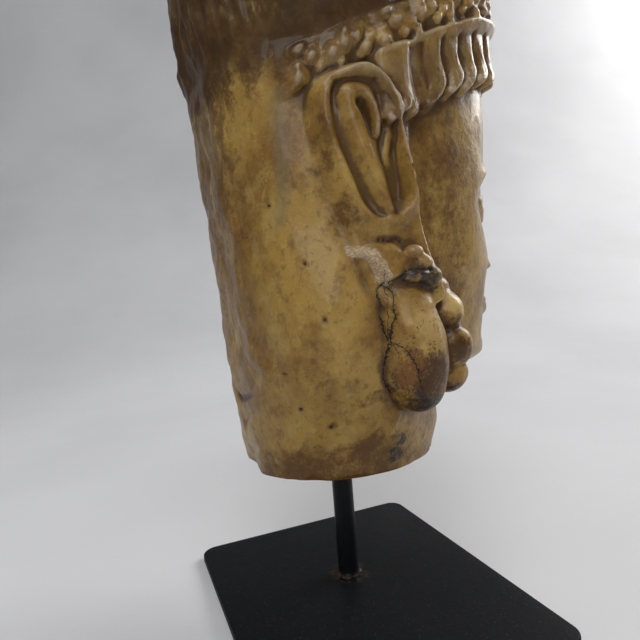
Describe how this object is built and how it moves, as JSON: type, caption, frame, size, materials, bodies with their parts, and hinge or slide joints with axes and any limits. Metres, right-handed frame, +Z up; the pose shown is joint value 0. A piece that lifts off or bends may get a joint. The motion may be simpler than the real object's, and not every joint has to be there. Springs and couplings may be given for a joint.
{
  "type": "stone deity head on a stand",
  "caption": "Carved honey-coloured stone head with diadem, long ears and blossom ear ornaments, held upright by a steel rod on an oblong steel plate.",
  "frame": {"origin": "on the steel plate's underside, below the rod's axis", "axes": "+Z up; the head faces -Y; the figure's right ear is towards -X"},
  "size_m": [0.1936, 0.1887, 0.4021],
  "materials": {
    "honey_stone": "waxed and worn, with brown stains and dark veins",
    "rod_black_paint": "satin black paint",
    "plate_black_paint": "satin black paint"
  },
  "bodies": {
    "root": {"stone_head": "honey_stone", "stand_rod": "rod_black_paint", "stand_plate": "plate_black_paint"}
  },
  "joints": []
}
